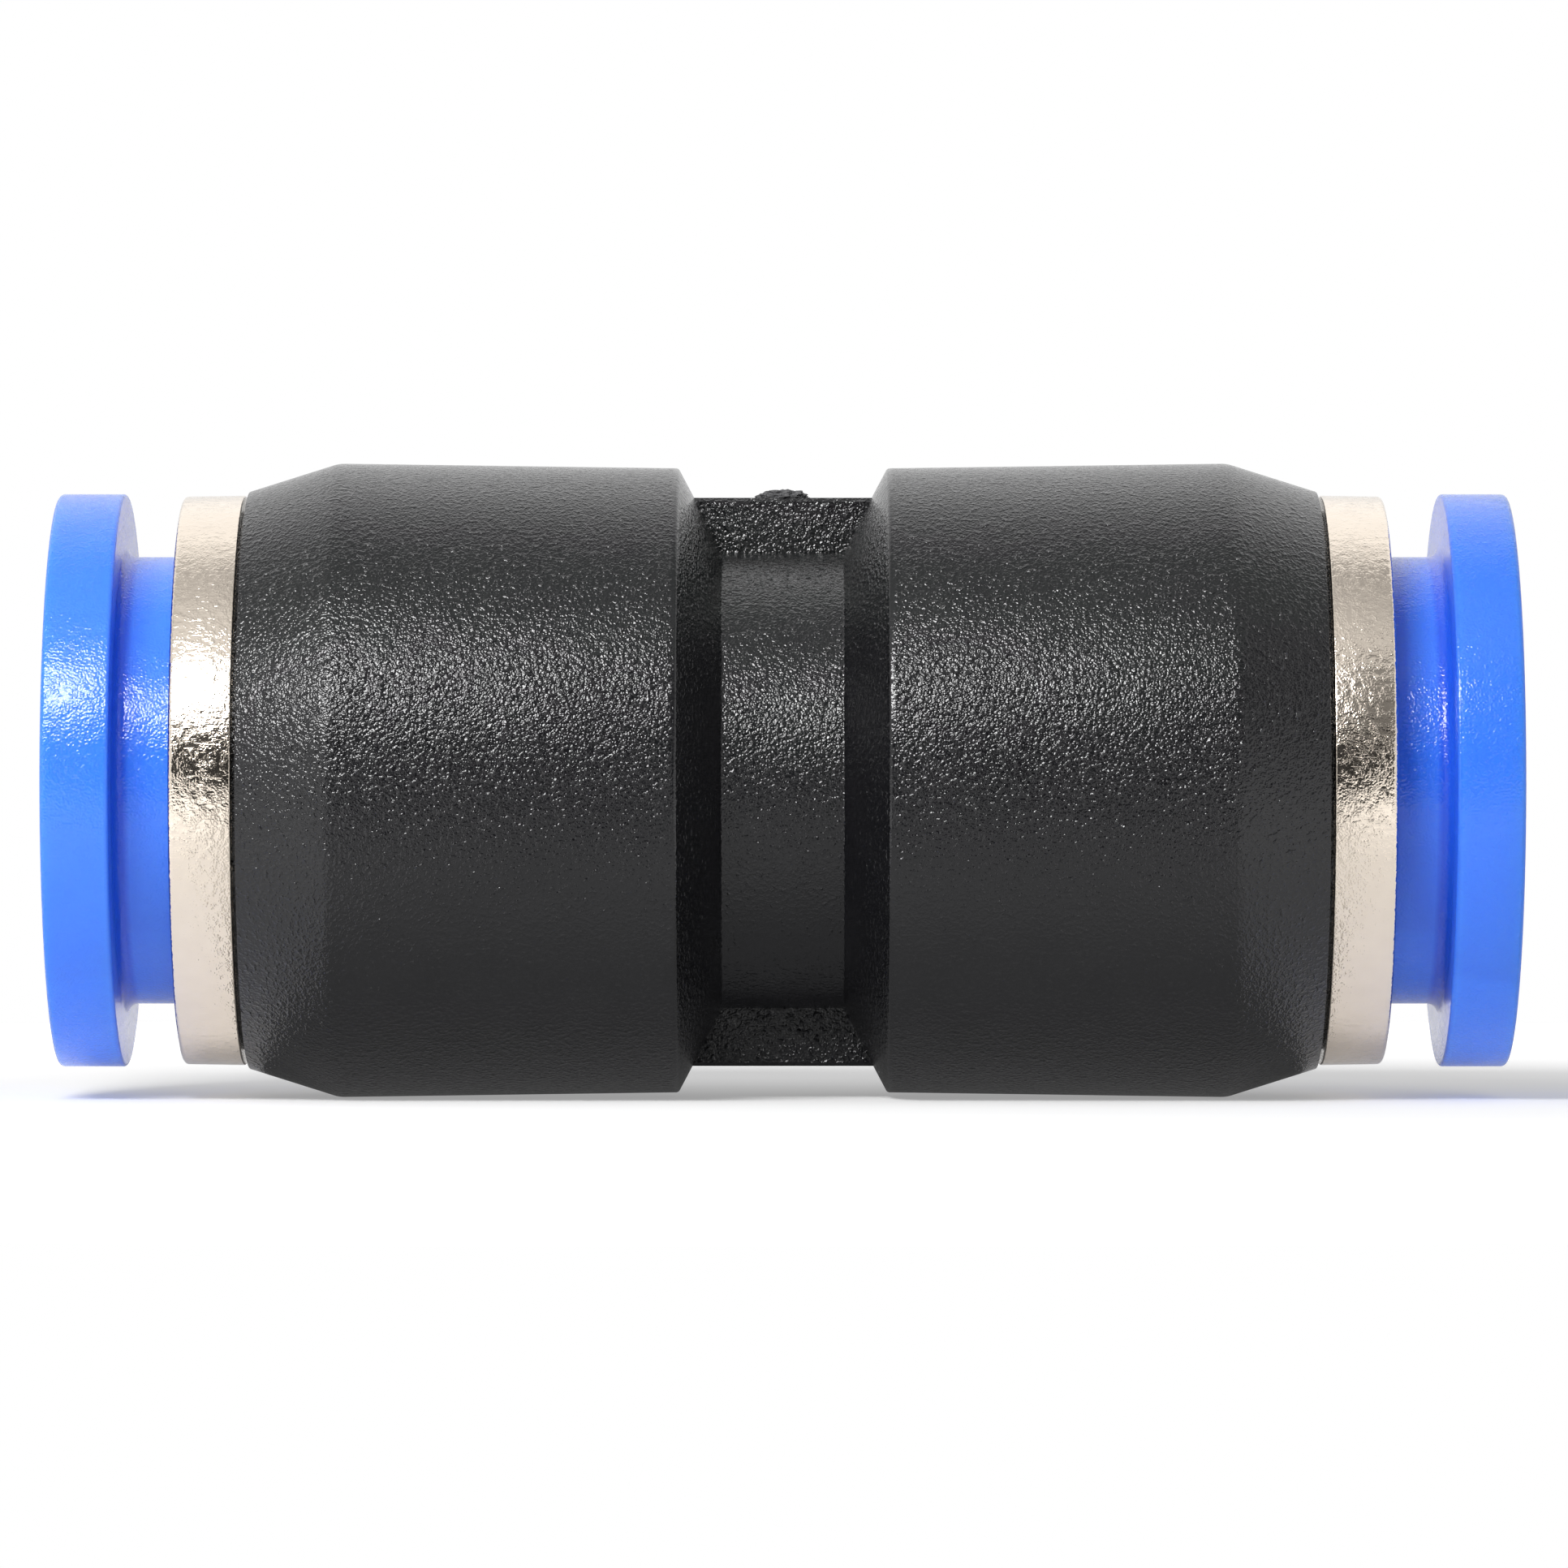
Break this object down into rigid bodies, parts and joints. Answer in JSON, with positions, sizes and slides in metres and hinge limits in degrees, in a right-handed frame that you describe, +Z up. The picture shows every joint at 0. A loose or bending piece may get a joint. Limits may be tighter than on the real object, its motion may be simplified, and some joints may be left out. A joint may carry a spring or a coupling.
{
  "type": "push fit coupling",
  "caption": "Straight push-fit coupling for plastic air tube: waisted black body with a plated guide ring and a blue release sleeve at each end.",
  "frame": {"origin": "middle of the coupling on the tube axis", "axes": "+X along the tube axis towards the right-hand end in the picture, +Z up through the rib that carries the gate mark, +Y away from the camera"},
  "size_m": [0.0468, 0.0204, 0.0204],
  "materials": {
    "body_plastic": "black moulded plastic, fine spark-eroded grain",
    "nickel_plate": "nickel plating over a die-cast, slightly hammered surface",
    "sleeve_plastic": "blue moulded plastic, satin",
    "spring_steel": "stainless strip, bright",
    "support_plastic": "natural moulded plastic",
    "seal_rubber": "black rubber"
  },
  "bodies": {
    "body": {"housing": "body_plastic", "left_guide_ring": "nickel_plate", "left_tooth_support": "support_plastic", "left_seal_ring": "seal_rubber", "right_guide_ring": "nickel_plate", "right_tooth_support": "support_plastic", "right_seal_ring": "seal_rubber"},
    "left_grip": {"left_grab_ring": "spring_steel"},
    "left_sleeve": {"left_release_sleeve": "sleeve_plastic"},
    "right_grip": {"right_grab_ring": "spring_steel"},
    "right_sleeve": {"right_release_sleeve": "sleeve_plastic"}
  },
  "joints": [
    {"name": "left_swivel", "type": "hinge", "parent": "body", "child": "left_grip", "pos_m": [-0.012, 0, 0], "axis": [1, 0, 0], "continuous": true},
    {"name": "left_release", "type": "slide", "parent": "left_grip", "child": "left_sleeve", "axis": [1, 0, 0], "range_m": [0, 0.00185], "stiffness_N_per_m": 1500, "springref_m": -0.0004, "deforming": ["left_grab_ring"]},
    {"name": "right_swivel", "type": "hinge", "parent": "body", "child": "right_grip", "pos_m": [0.012, 0, 0], "axis": [1, 0, 0], "continuous": true},
    {"name": "right_release", "type": "slide", "parent": "right_grip", "child": "right_sleeve", "axis": [-1, 0, 0], "range_m": [0, 0.00185], "stiffness_N_per_m": 1500, "springref_m": -0.0004, "deforming": ["right_grab_ring"]}
  ]
}
